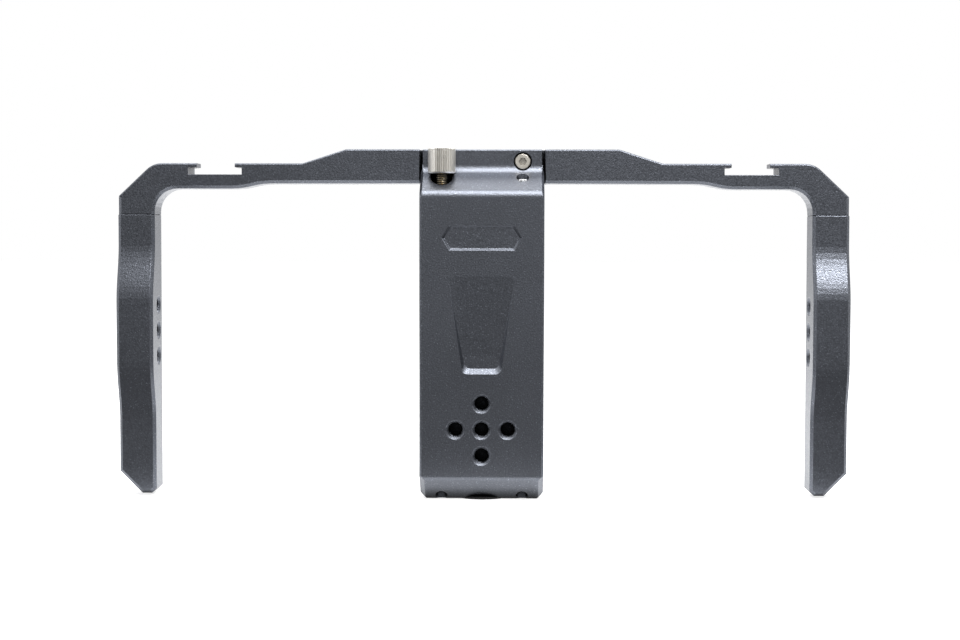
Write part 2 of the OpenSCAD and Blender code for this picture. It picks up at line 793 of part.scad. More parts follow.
module upper_jaw() {
    top = jaw_z + jaw_h;
    shape = [
        [phone_y + 0.3, jaw_z, 0, 0.4],
        [hook_y, jaw_z, 0, 0.4],
        [hook_y, jaw_z - hook_h, 0.8, 0.4],
        [clamp_y, jaw_z - hook_h, 1.5, 0.4],
        [clamp_y, top, 1.5, 0.4],
        [phone_y + 0.3, top, 0, 0.4]
    ];
    color([0.36, 0.37, 0.40])
    difference() {
        translate([jaw_w / 2, 0, 0]) rotate([0, 0, 90]) bevelled_bar(shape, jaw_w);
        for (side = [-1, 1]) {
            bar_y(side * jaw_screw_x, jaw_screw_z, phone_y - 1, far, cap_d + 0.2);
            bar_y(side * jaw_screw_x, jaw_screw_z, clamp_y - cap_head_h - 0.5, far, cap_head_d + 0.1);
        }
    }
}

module jaw_screws() {
    color([0.2, 0.2, 0.21])
    for (side = [-1, 1])
        translate([side * jaw_screw_x, clamp_y - 0.5, jaw_screw_z]) rotate([90, 0, 0])
            cap_screw(clamp_y - 0.5 - shaft_y - 0.5);
}

module upper_jaw_pad() {
    color([0.09, 0.09, 0.09])
    slab([-jaw_w / 2 + 1, jaw_w / 2 - 1], [phone_y + 0.6, hook_y - 0.3], 1, jaw_pad_z, pad_h);
}

// Hinges

module hinge_leaf() {
    color([0.50, 0.50, 0.52])
    difference() {
        union() {
            block([block_half - leaf_in, block_half], [leaf_y, leaf_y + leaf_deep], [leaf_z, leaf_top_z]);
            block([block_half - leaf_in, pin_x - knuckle_r - 0.6], [leaf_y, leaf_y + leaf_deep],
                [leaf_z, leaf_z + leaf_h]);
            post(pin_x, pin_y, leaf_z, leaf_knuckle_h, 2 * knuckle_r);
        }
        post(pin_x, pin_y, leaf_z - 1, leaf_knuckle_h + 2, pin_d + 2 * run_gap);
        bar_y(leaf_screw_x, leaf_screw_z, leaf_y - 1, leaf_deep + 2, cap_d + 2 * fix_gap);
    }
}

module left_hinge_leaf() {
    mirror([1, 0, 0]) hinge_leaf();
}

module right_hinge_leaf() {
    hinge_leaf();
}

// The right screw enters from the front, and the left one from the back, behind the knob
module leaf_screws() {
    color([0.66, 0.64, 0.58]) {
        translate([leaf_screw_x, arm_y, leaf_screw_z]) rotate([-90, 0, 0])
            cap_screw(leaf_y + leaf_deep - arm_y - 0.2);
        translate([-leaf_screw_x, back_y, leaf_screw_z]) rotate([90, 0, 0])
            cap_screw(back_y - leaf_y - 0.2);
    }
}

module hinge_pin() {
    foot = block_z + 0.6;
    h = block_h - 1.2;
    color([0.66, 0.66, 0.67])
    translate([pin_x, pin_y, foot])
        rotate_extrude() polygon([
            [0, 0], [pin_d / 2 - 0.3, 0], [pin_d / 2, 0.3], [pin_d / 2, h - 0.3], [pin_d / 2 - 0.3, h], [0, h]
        ]);
}

module left_hinge_pin() {
    mirror([1, 0, 0]) hinge_pin();
}

module right_hinge_pin() {
    hinge_pin();
}

// Arms, drawn on the right

module arm_bar() {
    shoe_z = arm_top - shoe_bar_h;
    shape = [
        [arm_end, block_z, 0, arm_bevel],
        [sweep_start, arm_top - arm_h, sweep_r, arm_bevel],
        [sweep_start + sweep_len, shoe_z, sweep_r, arm_bevel],
        [grip_in, shoe_z, inner_r, arm_bevel],
        [grip_in, seam_z, 0, seam_bevel],
        [arm_out, seam_z, 0, arm_bevel],
        [arm_out, arm_top - corner_h, 0.8, top_bevel],
        [arm_out - corner_w, arm_top, corner_r, top_bevel],
        [drop_end, arm_top, drop_r, top_bevel],
        [drop_start, rig_h, drop_r, top_bevel],
        [arm_end, rig_h, 0.6, top_bevel]
    ];
    translate([0, arm_y, 0]) bevelled_bar(shape, arm_depth);
}

module shoe_cut() {
    lip_z = arm_top - shoe_lip;
    mouth = [shoe_x + shoe_lip_in, shoe_x + shoe_w - shoe_lip_out];
    block([shoe_x, shoe_x + shoe_w], [arm_y - 1, back_y + 1], [lip_z - shoe_h, lip_z]);
    translate([0, 0, lip_z - 1]) linear_extrude(shoe_lip + 2) polygon([
        [mouth[0], arm_y - 1], [mouth[1], arm_y - 1], [mouth[1], back_y - shoe_lead],
        [shoe_x + shoe_w, back_y + eps], [shoe_x, back_y + eps], [mouth[0], back_y - shoe_lead]
    ]);
}

module arm() {
    clear_r = knuckle_r + move_gap;
    color([0.34, 0.35, 0.38])
    difference() {
        union() {
            arm_bar();
            for (span = [[block_z, low_lug_h], [leaf_top_z + knuckle_gap, rig_h - leaf_top_z - knuckle_gap]]) {
                post(pin_x, pin_y, span[0], span[1], 2 * knuckle_r);
                block([pin_x, arm_end + 1.2], [pin_y - knuckle_r, pin_y + knuckle_r], [span[0], span[0] + span[1]]);
            }
        }
        post(pin_x, pin_y, leaf_z - knuckle_gap, leaf_knuckle_h + 2 * knuckle_gap, 2 * clear_r);
        block([pin_x - clear_r, pin_x + clear_r], [pin_y, back_y + 1], [leaf_z - knuckle_gap, leaf_top_z + knuckle_gap]);
        post(pin_x, pin_y, block_z - 1, block_h + 2, pin_d + 2 * fix_gap);
        shoe_cut();
        for (y = grip_screw_y) {
            post(grip_mid, y, seam_z - 1, far, grip_screw_d + 0.2);
            post(grip_mid, y, grip_screw_seat, far, grip_bore_d);
        }
    }
}

module left_arm() {
    mirror([1, 0, 0]) arm();
}

module right_arm() {
    arm();
}

// Grips, drawn on the right

// How far the front face stands out at height z
function grip_swell(z) = swell * smooth((swell_top - z) / swell_flank) * smooth((z - swell_foot) / swell_flank);

// A section at height z between x[0] and x[1], its front and back edges cut by legs, and all
// of it drawn in by edge at the front and back
function grip_ring(z, x, leg, in_leg, out_leg, edge) =
    let (front = arm_y - grip_swell(z) + edge, back = back_y - edge)
    [
        [x[0] + in_leg, front, z], [x[1] - out_leg, front, z],
        [x[1], front + leg, z], [x[1], back - leg, z],
        [x[1] - out_leg, back, z], [x[0] + in_leg, back, z],
        [x[0], back - leg, z], [x[0], front + leg, z]
    ];

module grip_body() {
    b = grip_bevel;
    t = grip_top_bevel;
    cut_z = grip_foot + foot_corner;
    nick_z = grip_foot + foot_nick;
    slant = b * sqrt(2);
    upper = [for (k = [0:44]) seam_z - 1 - (seam_z - 1 - cut_z - 0.42 * b) * k / 44];
    skin(concat(
        [grip_ring(seam_z, [grip_in + t, grip_out - t], b, b - t, b - t, t)],
        [grip_ring(seam_z - t, [grip_in, grip_out], b, b, b, 0)],
        [for (z = upper) grip_ring(z, [grip_in, grip_out], b, b, b, 0)],
        [grip_ring(cut_z, [grip_in, grip_out], b, b, slant, 0)],
        [
            for (z = [nick_z + 0.42 * b, nick_z])
                grip_ring(z, [grip_in, grip_out - (cut_z - z)], b, z > nick_z ? b : slant, slant, 0)
        ],
        [grip_ring(grip_foot + b, [grip_in + foot_nick - b, grip_out - foot_corner + b], b, slant, slant, 0)],
        [grip_ring(grip_foot, [grip_in + foot_nick, grip_out - foot_corner], 0.05, 0.05, 0.05, b)]
    ), fan(8));
}

module grip() {
    color([0.34, 0.35, 0.38])
    difference() {
        grip_body();
        for (k = [-1, 0, 1])
            translate([grip_in, hole_y, grip_hole_z + k * quarter_pitch]) rotate([0, 90, 0])
                quarter_cut(grip_hole_deep);
        for (y = grip_screw_y)
            post(grip_mid, y, grip_screw_foot - 0.5, far, grip_screw_d + 2 * fix_gap);
    }
}

module left_grip() {
    mirror([1, 0, 0]) grip();
}

module right_grip() {
    grip();
}

module grip_screws() {
    color([0.2, 0.2, 0.21])
    for (y = grip_screw_y)
        translate([grip_mid, y, grip_screw_seat + grip_head_h]) rotate([180, 0, 0])
            socket_screw(grip_screw_seat + grip_head_h - grip_screw_foot, grip_screw_d, grip_head_d, grip_head_h, grip_hex);
}

module left_grip_screws() {
    mirror([1, 0, 0]) grip_screws();
}

module right_grip_screws() {
    grip_screws();
}

spine();
back_cover();
cover_screws();
phone_rest_pads();
shelf_pad();
base_pad();
tripod_insert();
screw_bush();
guide_rod();
plug_screws();
clamp_knob();
lead_screw();
jaw_carriage();
drive_nut();
guide_bush();
upper_jaw();
jaw_screws();
upper_jaw_pad();
left_hinge_leaf();
right_hinge_leaf();
leaf_screws();
left_arm();
left_hinge_pin();
left_grip();
left_grip_screws();
right_arm();
right_hinge_pin();
right_grip();
right_grip_screws();
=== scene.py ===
"""Looks of the smartphone video rig: materials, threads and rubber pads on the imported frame."""
import json
import math

import bpy
from mathutils import Matrix, Vector


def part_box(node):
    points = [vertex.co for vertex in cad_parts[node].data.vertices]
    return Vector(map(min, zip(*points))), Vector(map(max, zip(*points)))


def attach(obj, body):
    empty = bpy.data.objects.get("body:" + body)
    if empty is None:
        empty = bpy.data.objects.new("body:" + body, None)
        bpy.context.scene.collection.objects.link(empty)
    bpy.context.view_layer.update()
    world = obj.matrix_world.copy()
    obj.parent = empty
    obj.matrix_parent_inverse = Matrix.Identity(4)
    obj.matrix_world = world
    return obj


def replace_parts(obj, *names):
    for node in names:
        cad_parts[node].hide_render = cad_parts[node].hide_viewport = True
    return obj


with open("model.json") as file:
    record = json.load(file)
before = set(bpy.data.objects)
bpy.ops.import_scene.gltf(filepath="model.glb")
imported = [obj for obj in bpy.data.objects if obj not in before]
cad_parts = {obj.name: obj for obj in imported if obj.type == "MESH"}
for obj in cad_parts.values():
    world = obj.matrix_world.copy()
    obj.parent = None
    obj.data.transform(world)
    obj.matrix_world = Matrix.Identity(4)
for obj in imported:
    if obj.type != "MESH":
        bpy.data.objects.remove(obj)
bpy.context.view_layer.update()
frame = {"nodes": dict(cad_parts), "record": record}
NODES = frame["nodes"]
MM = 0.001

# Camera, in millimetres and degrees, and the photograph's frame in pixels
CAM_AT = (10.29, -590.7, 90.17)
CAM_YAW, CAM_PITCH, CAM_ROLL = 1.081, -2.733, 0.120
CAM_FOCAL_PX = 1679.0
FRAME_W = 960
SENSOR = 36.0
CLIP = 0.05, 50

# The floor: its level, the underside of the rubber ring; half its width; its grey
FLOOR_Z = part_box("base_pad")[0].z
FLOOR_HALF = 6.0
FLOOR_GREY = (0.62, 0.62, 0.62)

# Brightness of the room in front of the object, against 1 elsewhere: straight ahead and to the sides of that
FRONT_MIDDLE, FRONT_SIDES = 1.0, 0.15

# Y of a ray's direction between which the room goes from dim to bright, and X at which it is dimmest
FRONT_FROM, FRONT_TO, FRONT_ASIDE = -1.0, -0.4, 0.3

# Strength of the room as a light. What is seen of it has the strength 1
ROOM_LIGHT = 0.55

# How much of its white the floor gives off itself
FLOOR_LIFT = 0.76

# Y on the floor, in metres, between which its reflection goes from painted shade, like a grey card, to white, and how
# that shifts per metre aside
CARD_FROM, CARD_TO, CARD_TURN = -0.065, -0.025, -0.22

# Lamps: name, place, size and power. All of them point at LAMPS_AT
LAMPS_AT = (0, 0, 0.08)
LAMPS = (
    ("key", (0.40, -0.80, 0.88), (0.32, 0.46), 9.5),
    ("strip", (0.10, -0.52, 0.90), (0.65, 0.52), 6.5),
    ("top", (0.0, -0.18, 1.05), (1.4, 0.4), 7),
    ("back", (0.0, 0.55, 0.85), (1.2, 0.5), 8),
    ("left", (-0.9, -0.3, 0.35), (0.4, 0.7), 0.8),
)

# Scales of noise, per metre
GRAIN, GLINT, RINGS, RUBBER_GRAIN = 2000, 2300, 2500, 3500
CLOUDS, KNURL_CLOUDS, DUST, PATCHES = 300, 500, 120, 30

# Between these lie most values of a noise texture
NOISE_LOW, NOISE_HIGH = 0.3, 0.7

# Noise between which a painted glint, a bright speck, fades in, and its brightness against the light colour
GLINT_FROM, GLINT_TO, SPECK = 0.64, 0.74, 1.8

# Painted shade in holes and sockets: how open a spot is where it turns black and where it keeps its colour, and what is
# left of the colour in that shade
HOLE_SHUT, HOLE_OPEN, HOLE_LEFT = 0.15, 0.5, 0.04

# Quarter-inch threads: radius of the bore, pitch, depth, how far the ridge's root is sunk and its crest stands out,
# and where it starts behind the mouth
QUARTER_R = 2.6 * MM
QUARTER_PITCH = 1.27 * MM
QUARTER_DEEP = 8.6 * MM
SOCKET_DEEP = 6.5 * MM
QUARTER_SINK = 0.04 * MM
QUARTER_RIDGE = 0.22 * MM
QUARTER_START = 0.7 * MM

# The holes: the middle ones of the plate's cross and of the right grip's row, and the distance between neighbours
CROSS_AT = (0, -16.5 * MM, 24.9 * MM)
GRIP_HOLE_AT = (114.7 * MM, 1.15 * MM, 58.0 * MM)
HOLE_PITCH = 9 * MM

# The lead screw: its thread, its end bevels, how far the ridge is sunk and stays off the ends, and its collar,
# which lies between two heights under the bush's foot
SCREW_PITCH = 0.7 * MM
SCREW_CREST = 1.95 * MM
SCREW_ROOT = 1.58 * MM
SCREW_BEVEL = 0.3 * MM
SCREW_SINK = 0.02 * MM
SCREW_END = 0.1 * MM
COLLAR_R = 3.0 * MM
COLLAR_FOOT, COLLAR_TOP = -1.35 * MM, -0.15 * MM

# A thread's section: where its root and its crest end, in pitches from its middle
ROOT_END, CREST_END = 0.42, 0.09

# Pads: bevel and corner radius, the body's share of the height, the faces' margin at the ends and the sides,
# the rib's share of its step and how far it is sunk
PAD_EDGE = 0.12 * MM
PAD_CORNER = 0.9 * MM
PAD_BODY = 0.62
PAD_MARGIN = 0.7 * MM
RIB_MARGIN = 0.6 * MM
RIB_SHARE = 0.62
RIB_SINK = 0.02 * MM
REST_PAD_W = 9.3 * MM

# Ribs of each pad
SHELF_RIBS, JAW_RIBS, REST_RIBS, RING_RIBS = 20, 19, 36, 7

# The ring in the underside: its gap round the insert, and how high its grooves, shoulders and outer edge lie
RING_GAP = 0.06 * MM
RING_GROOVE, RING_SHOULDER, RING_EDGE = 0.25 * MM, 0.05 * MM, 0.3 * MM


# Materials

def material(name):
    """A new node material and its Principled shader."""
    mat = bpy.data.materials.new(name)
    mat.use_nodes = True
    return mat, mat.node_tree.nodes["Principled BSDF"]


def node(mat, kind, inputs=None, **settings):
    """A new shader node. An input is a value or the socket that feeds it."""
    made = mat.node_tree.nodes.new("ShaderNode" + kind)
    for key, value in settings.items():
        setattr(made, key, value)
    for key, value in (inputs or {}).items():
        if isinstance(value, bpy.types.NodeSocket):
            mat.node_tree.links.new(value, made.inputs[key])
        else:
            made.inputs[key].default_value = value
    return made


def link(mat, socket, target):
    mat.node_tree.links.new(socket, target)


def noise(mat, scale, detail, stretch=(1, 1, 1)):
    """Noise in the piece's own space, its grain about 1/scale metres wide."""
    place = node(mat, "TexCoord")
    mapped = node(mat, "Mapping", {"Vector": place.outputs["Object"], "Scale": stretch})
    return node(mat, "TexNoise", {"Vector": mapped.outputs[0], "Scale": scale, "Detail": detail}).outputs["Fac"]


def ramp(mat, value, low, high):
    """Spreads the usual values of a noise from low to high."""
    return node(mat, "MapRange", {"Value": value, "From Min": NOISE_LOW, "From Max": NOISE_HIGH,
                                  "To Min": low, "To Max": high}).outputs["Result"]


def tint(mat, value, dark, light):
    """A colour between dark and light, by a noise."""
    return mixed(mat, ramp(mat, value, 0.0, 1.0), dark, light)


def bump(mat, height, strength, depth, edge):
    """A bump of the given depth in metres, on a normal that rounds the edges by edge metres."""
    made = node(mat, "Bump", {"Height": height, "Strength": strength, "Distance": depth})
    link(mat, node(mat, "Bevel", {"Radius": edge}, samples=4).outputs[0], made.inputs["Normal"])
    return made.outputs[0]


def mixed(mat, factor, low, high):
    """low where factor is 0 and high where it is 1. Each is a colour or a socket."""
    mix = node(mat, "Mix", data_type="RGBA")
    link(mat, factor, mix.inputs[0])
    for slot, value in ((6, low), (7, high)):
        if isinstance(value, bpy.types.NodeSocket):
            link(mat, value, mix.inputs[slot])
        else:
            mix.inputs[slot].default_value = (*value, 1)
    return mix.outputs[2]


def painted_hole_shade(mat, color, reach):
    """The colour with painted shade: nearly black deep in holes and sockets, where reach in metres finds a wall all
    round.
    """
    open_sky = node(mat, "AmbientOcclusion", {"Distance": reach}, samples=8).outputs["AO"]
    shown = node(mat, "MapRange", {"Value": open_sky, "From Min": HOLE_SHUT, "From Max": HOLE_OPEN,
                                   "To Min": HOLE_LEFT, "To Max": 1.0})
    return mixed(mat, shown.outputs["Result"], (0, 0, 0), color)


def blasted(name, dark, light, rough):
    """Bead-blasted, anodised aluminium: a fine grain with painted glints as bright specks, faint cloudy patches and
    painted shade deep in holes.
    """
    mat, shader = material(name)
    grain = noise(mat, GRAIN, 2)
    patches = noise(mat, PATCHES, 2)
    cloudy = node(mat, "Mix", {0: 0.35, 2: grain, 3: patches}).outputs[0]
    # Painted glints: specks of brighter colour that stand in for sparkle
    glint = node(mat, "MapRange", {"Value": noise(mat, GLINT, 1), "From Min": GLINT_FROM,
                                   "From Max": GLINT_TO}).outputs["Result"]
    painted_glint = tuple(SPECK * c for c in light)
    color = mixed(mat, glint, tint(mat, cloudy, dark, light), painted_glint)
    # Painted shade: the colour goes nearly black deep in holes and sockets
    link(mat, painted_hole_shade(mat, color, 8 * MM), shader.inputs["Base Color"])
    link(mat, ramp(mat, grain, rough - 0.05, rough + 0.07), shader.inputs["Roughness"])
    link(mat, bump(mat, grain, 0.8, 0.09 * MM, 0.3 * MM), shader.inputs["Normal"])
    shader.inputs["Metallic"].default_value = 1.0
    return mat


def knurled(name, shaded_groove, ridge, rough):
    """Satin nickel on a knurl: painted shade in the grooves, faint scratches and a few dull patches."""
    mat, shader = material(name)
    # Painted shade: the colour darkens in the knurl's grooves, where a wall is near
    groove_shade = node(mat, "AmbientOcclusion", {"Distance": 0.6 * MM}, samples=8).outputs["AO"]
    clouds = noise(mat, KNURL_CLOUDS, 3)
    wear = node(mat, "Math", {0: clouds, 1: 0.25}, operation="MULTIPLY").outputs[0]
    shade_and_wear = node(mat, "Math", {0: groove_shade, 1: wear}, operation="SUBTRACT").outputs[0]
    link(mat, tint(mat, shade_and_wear, shaded_groove, ridge), shader.inputs["Base Color"])
    link(mat, ramp(mat, clouds, rough - 0.04, rough + 0.08), shader.inputs["Roughness"])
    shader.inputs["Metallic"].default_value = 1.0
    return mat


def turned(name, dark, light, rough):
    """Metal turned or ground on a lathe: fine rings across the axis, a little cloudiness and painted shade deep in
    holes and sockets.
    """
    mat, shader = material(name)
    cut = noise(mat, RINGS, 1, (0.03, 0.03, 1))
    clouds = noise(mat, CLOUDS, 3)
    # Painted shade: the colour goes nearly black deep in holes and sockets
    link(mat, painted_hole_shade(mat, tint(mat, clouds, dark, light), 2 * MM), shader.inputs["Base Color"])
    link(mat, ramp(mat, cut, rough - 0.06, rough + 0.08), shader.inputs["Roughness"])
    link(mat, bump(mat, cut, 0.25, 0.02 * MM, 0.08 * MM), shader.inputs["Normal"])
    shader.inputs["Metallic"].default_value = 1.0
    return mat


def rubber(name):
    """Matt moulded rubber with a fine grain and paler dust."""
    mat, shader = material(name)
    grain = noise(mat, RUBBER_GRAIN, 3)
    dust = noise(mat, DUST, 4)
    link(mat, tint(mat, dust, (0.012, 0.012, 0.013), (0.030, 0.030, 0.031)), shader.inputs["Base Color"])
    link(mat, ramp(mat, dust, 0.65, 0.85), shader.inputs["Roughness"])
    link(mat, bump(mat, grain, 0.6, 0.06 * MM, 0.1 * MM), shader.inputs["Normal"])
    shader.inputs["Specular IOR Level"].default_value = 0.35
    return mat


LOOKS = {
    "body_aluminium": blasted("body_aluminium", (0.103, 0.110, 0.126), (0.151, 0.161, 0.186), 0.33),
    "cover_aluminium": blasted("cover_aluminium", (0.040, 0.042, 0.050), (0.062, 0.066, 0.076), 0.42),
    "rubber": rubber("rubber"),
    # The knob's darker colour is painted shade in the knurl's grooves
    "knob_nickel": knurled("knob_nickel", (0.58, 0.56, 0.51), (0.88, 0.86, 0.82), 0.32),
    "thread_steel": turned("thread_steel", (0.24, 0.21, 0.16), (0.42, 0.37, 0.28), 0.32),
    "rod_steel": turned("rod_steel", (0.60, 0.61, 0.63), (0.72, 0.73, 0.74), 0.16),
    "screw_steel": turned("screw_steel", (0.58, 0.55, 0.49), (0.74, 0.70, 0.63), 0.32),
    "black_screw": turned("black_screw", (0.018, 0.018, 0.020), (0.035, 0.035, 0.038), 0.38),
    "brass": turned("brass", (0.56, 0.38, 0.15), (0.70, 0.50, 0.22), 0.28),
    "insert_steel": turned("insert_steel", (0.42, 0.42, 0.40), (0.55, 0.55, 0.53), 0.30),
}


def dress(target, slot):
    """Gives an object the look of its slot."""
    target.data.materials.clear()
    target.data.materials.append(LOOKS[slot])


def dress_nodes():
    """Gives each CAD node the look of the slot that the record names."""
    for entry in frame["record"]["subparts"]:
        dress(NODES[entry["node"]], entry["material_slot"])


# Mesh pieces

def piece(name, points, faces, body, slot, smooth=True):
    """A new object from points and faces, which rides a body."""
    mesh = bpy.data.meshes.new(name)
    mesh.from_pydata([tuple(p) for p in points], [], faces)
    mesh.validate()
    mesh.update()
    for polygon in mesh.polygons:
        polygon.use_smooth = smooth
    made = bpy.data.objects.new(name, mesh)
    bpy.context.scene.collection.objects.link(made)
    dress(made, slot)
    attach(made, body)
    return made


def grid_faces(rows, columns, closed):
    """Quads between rows of points, each row a ring if closed."""
    span = columns if closed else columns - 1
    return [
        (r * columns + c, r * columns + (c + 1) % columns, (r + 1) * columns + (c + 1) % columns, (r + 1) * columns + c)
        for r in range(rows - 1) for c in range(span)
    ]


def ring(radius, height, count):
    """A circle of points about Z."""
    return [
        (radius * math.cos(2 * math.pi * i / count), radius * math.sin(2 * math.pi * i / count), height)
        for i in range(count)
    ]


def lathe(profile, count=48):
    """Points and faces of a profile of (radius, height), turned about Z."""
    points = [p for r, h in profile for p in ring(max(r, 1e-6), h, count)]
    return points, grid_faces(len(profile), count, True)


def helix(base_r, crest_r, pitch, low, high, steps=36):
    """A thread's ridge between two heights. It runs out at both ends."""
    count = int(((high - low) / pitch - 1) * steps)
    points = []
    for i in range(count + 1):
        fade = min(1, i / steps * 2, (count - i) / steps * 2)
        angle = 2 * math.pi * i / steps
        middle = low + pitch / 2 + pitch * i / steps
        crest = base_r + (crest_r - base_r) * fade
        for radius, offset in ((base_r, -ROOT_END), (crest, -CREST_END), (crest, CREST_END), (base_r, ROOT_END)):
            points.append((radius * math.cos(angle), radius * math.sin(angle), middle + offset * pitch))
    return points, grid_faces(count + 1, 4, True)


def placed(points, matrix):
    """The points, moved by a matrix."""
    return [tuple(matrix @ Vector(p)) for p in points]


def joined(*parts):
    """Several pairs of points and faces as one."""
    points, faces = [], []
    for part_points, part_faces in parts:
        start = len(points)
        points += part_points
        faces += [tuple(i + start for i in f) for f in part_faces]
    return points, faces


def along(direction, at):
    """The matrix that turns +Z to direction and moves the origin to at."""
    turn = Vector((0, 0, 1)).rotation_difference(Vector(direction)).to_matrix().to_4x4()
    return Matrix.Translation(at) @ turn


def tapped(name, places, direction, body, deep=QUARTER_DEEP):
    """The threads of quarter-inch holes that run in direction from their mouths."""
    thread = helix(QUARTER_R + QUARTER_SINK, QUARTER_R - QUARTER_RIDGE, QUARTER_PITCH, QUARTER_START, deep)
    parts = [(placed(thread[0], along(direction, at)), thread[1]) for at in places]
    points, faces = joined(*parts)
    return piece(name, points, faces, body, "body_aluminium")


def make_threads():
    """The threads of the plate's cross of holes, the grips' side holes and the tripod socket."""
    x, y, z = CROSS_AT
    step = HOLE_PITCH
    tapped("plate_threads", [(x + i * step, y, z + k * step) for i, k in ((0, 0), (1, 0), (-1, 0), (0, 1), (0, -1))],
           (0, 1, 0), "frame")
    gx, gy, gz = GRIP_HOLE_AT
    for side, body in ((-1, "left_side"), (1, "right_side")):
        tapped(body + "_threads", [(side * gx, gy, gz + k * step) for k in (-1, 0, 1)], (side, 0, 0), body)
    socket = tapped("socket_threads", [(0, 0, 0)], (0, 0, 1), "frame", SOCKET_DEEP)
    dress(socket, "insert_steel")


def make_lead_screw():
    """The lead screw with its thread and its collar."""
    low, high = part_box("lead_screw")
    axis = Vector(((low.x + high.x) / 2, (low.y + high.y) / 2, 0))
    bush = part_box("screw_bush")[0].z
    collar = (bush + COLLAR_FOOT, bush + COLLAR_TOP)
    c = SCREW_BEVEL
    core = lathe([
        (0, low.z), (SCREW_ROOT - c, low.z), (SCREW_ROOT, low.z + c),
        (SCREW_ROOT, collar[0]), (COLLAR_R - c, collar[0]), (COLLAR_R, collar[0] + c),
        (COLLAR_R, collar[1] - c), (COLLAR_R - c, collar[1]), (SCREW_ROOT, collar[1]),
        (SCREW_ROOT, high.z - c), (SCREW_ROOT - c, high.z), (0, high.z),
    ])
    thread = helix(SCREW_ROOT - SCREW_SINK, SCREW_CREST, SCREW_PITCH, low.z + SCREW_END, high.z - SCREW_END, 24)
    points, faces = joined(core, thread)
    screw = piece("lead_screw_threaded", placed(points, Matrix.Translation(axis)), faces, "knob", "thread_steel")
    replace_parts(screw, "lead_screw")


def rounded_rectangle(half_a, half_b, radius, count=6):
    """The outline of a rectangle, each corner an arc of count steps."""
    points = []
    for corner, (sa, sb) in enumerate(((1, 1), (-1, 1), (-1, -1), (1, -1))):
        for i in range(count + 1):
            angle = math.pi / 2 * (corner + i / count)
            points.append((sa * (half_a - radius) + radius * math.cos(angle),
                           sb * (half_b - radius) + radius * math.sin(angle)))
    return points


def pad_parts(half_a, half_b, height, ribs):
    """A moulded pad: a rounded body and ribs across its face, which points to +Z."""
    body_h = height * PAD_BODY
    rows = [(PAD_EDGE, 0), (0, PAD_EDGE), (0, body_h - PAD_EDGE), (PAD_EDGE, body_h)]
    points = []
    for inset, h in rows:
        points += [(a, b, h) for a, b in rounded_rectangle(half_a - inset, half_b - inset, PAD_CORNER)]
    count = len(points) // len(rows)
    faces = grid_faces(len(rows), count, True)
    faces.append(tuple(range(count - 1, -1, -1)))
    faces.append(tuple(range(len(points) - count, len(points))))
    parts = [(points, faces)]
    width = 2 * (half_a - PAD_MARGIN) / ribs
    for i in range(ribs):
        middle = -half_a + PAD_MARGIN + width * (i + 0.5)
        parts.append(rib(middle, width * RIB_SHARE, half_b - RIB_MARGIN, body_h - RIB_SINK, height))
    return joined(*parts)


def rib(middle, width, half_length, low, high):
    """One rib with a rounded top and rounded ends."""
    section = [(-0.5, 0), (-0.46, 0.55), (-0.3, 0.88), (0, 1), (0.3, 0.88), (0.46, 0.55), (0.5, 0)]
    points = []
    rows = ((-1, 0.0), (-0.985, 0.7), (-0.95, 1.0), (0.95, 1.0), (0.985, 0.7), (1, 0.0))
    for along_b, size in rows:
        for a, h in section:
            points.append((middle + a * width * (0.4 + 0.6 * size), along_b * half_length,
                           low + (high - low) * h * size))
    return points, grid_faces(len(rows), len(section), False)


def ribbed(name, points, faces, body):
    """The ribbed rubber piece that stands for a pad's node."""
    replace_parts(piece(name + "_ribbed", points, faces, body, "rubber", False), name)


def make_jaw_pads():
    """The pads of the shelf and of the upper jaw, whose faces point to each other."""
    for name, ribs, body in (("shelf_pad", SHELF_RIBS, "frame"), ("upper_jaw_pad", JAW_RIBS, "jaw")):
        low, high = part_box(name)
        middle = (low + high) / 2
        size = high - low
        points, faces = pad_parts(size.x / 2, size.y / 2, size.z, ribs)
        if body == "jaw":
            turn = Matrix.Translation((middle.x, middle.y, high.z)) @ Matrix.Rotation(math.pi, 4, "X")
        else:
            turn = Matrix.Translation((middle.x, middle.y, low.z))
        ribbed(name, placed(points, turn), faces, body)


def make_rest_pads():
    """The two upright pads that the phone's back rests on."""
    low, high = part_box("phone_rest_pads")
    half_a, half_b = (high.z - low.z) / 2, REST_PAD_W / 2
    parts = []
    for side in (-1, 1):
        points, faces = pad_parts(half_a, half_b, high.y - low.y, REST_RIBS)
        basis = Matrix((
            (0, 1, 0, side * (high.x - half_b)),
            (0, 0, 1, low.y),
            (1, 0, 0, low.z + half_a),
            (0, 0, 0, 1),
        ))
        parts.append((placed(points, basis), faces))
    ribbed("phone_rest_pads", *joined(*parts), "frame")


def make_base_pad():
    """The rubber ring of the underside, with concentric ribs on its face."""
    low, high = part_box("base_pad")
    outer = (high.x - low.x) / 2
    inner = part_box("tripod_insert")[1].x + RING_GAP
    profile = [(inner, high.z), (inner, low.z + RING_GROOVE)]
    step = (outer - inner) / RING_RIBS
    one_rib = ((0.12, RING_GROOVE), (0.25, RING_SHOULDER), (0.4, 0), (0.6, 0), (0.75, RING_SHOULDER),
               (0.88, RING_GROOVE))
    for i in range(RING_RIBS):
        start = inner + i * step
        profile += [(start + step * share, low.z + up) for share, up in one_rib]
    profile += [(outer, low.z + RING_EDGE), (outer, high.z), (inner, high.z)]
    points, faces = lathe(profile, 96)
    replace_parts(piece("base_pad_ribbed", points, faces, "frame", "rubber"), "base_pad")


# Stage

